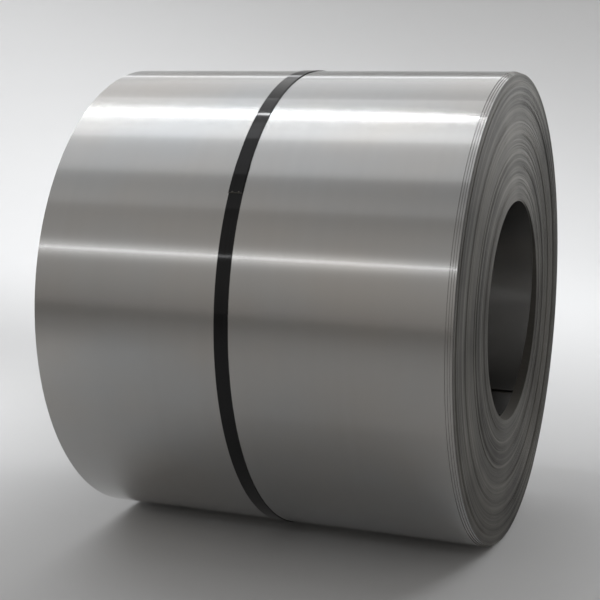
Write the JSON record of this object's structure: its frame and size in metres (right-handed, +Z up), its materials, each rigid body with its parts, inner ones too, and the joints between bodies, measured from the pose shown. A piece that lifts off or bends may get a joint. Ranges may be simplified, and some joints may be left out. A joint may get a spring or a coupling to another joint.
{
  "type": "steel coil",
  "caption": "Wound coil of cold-rolled steel strip with an open bore, lying on its side and held round the middle by a steel strap.",
  "frame": {"origin": "on the floor, under the middle of the coil", "axes": "+X along the coil's axis towards the end whose outer wraps step back, +Z up"},
  "size_m": [0.9528, 1.1019, 1.102],
  "materials": {
    "strip_steel": "smooth cold-rolled, grain round the circumference, thin oil film",
    "strap_steel": "black, painted and waxed, glossy"
  },
  "bodies": {
    "root": {"coil": "strip_steel", "strap": "strap_steel"}
  },
  "joints": []
}
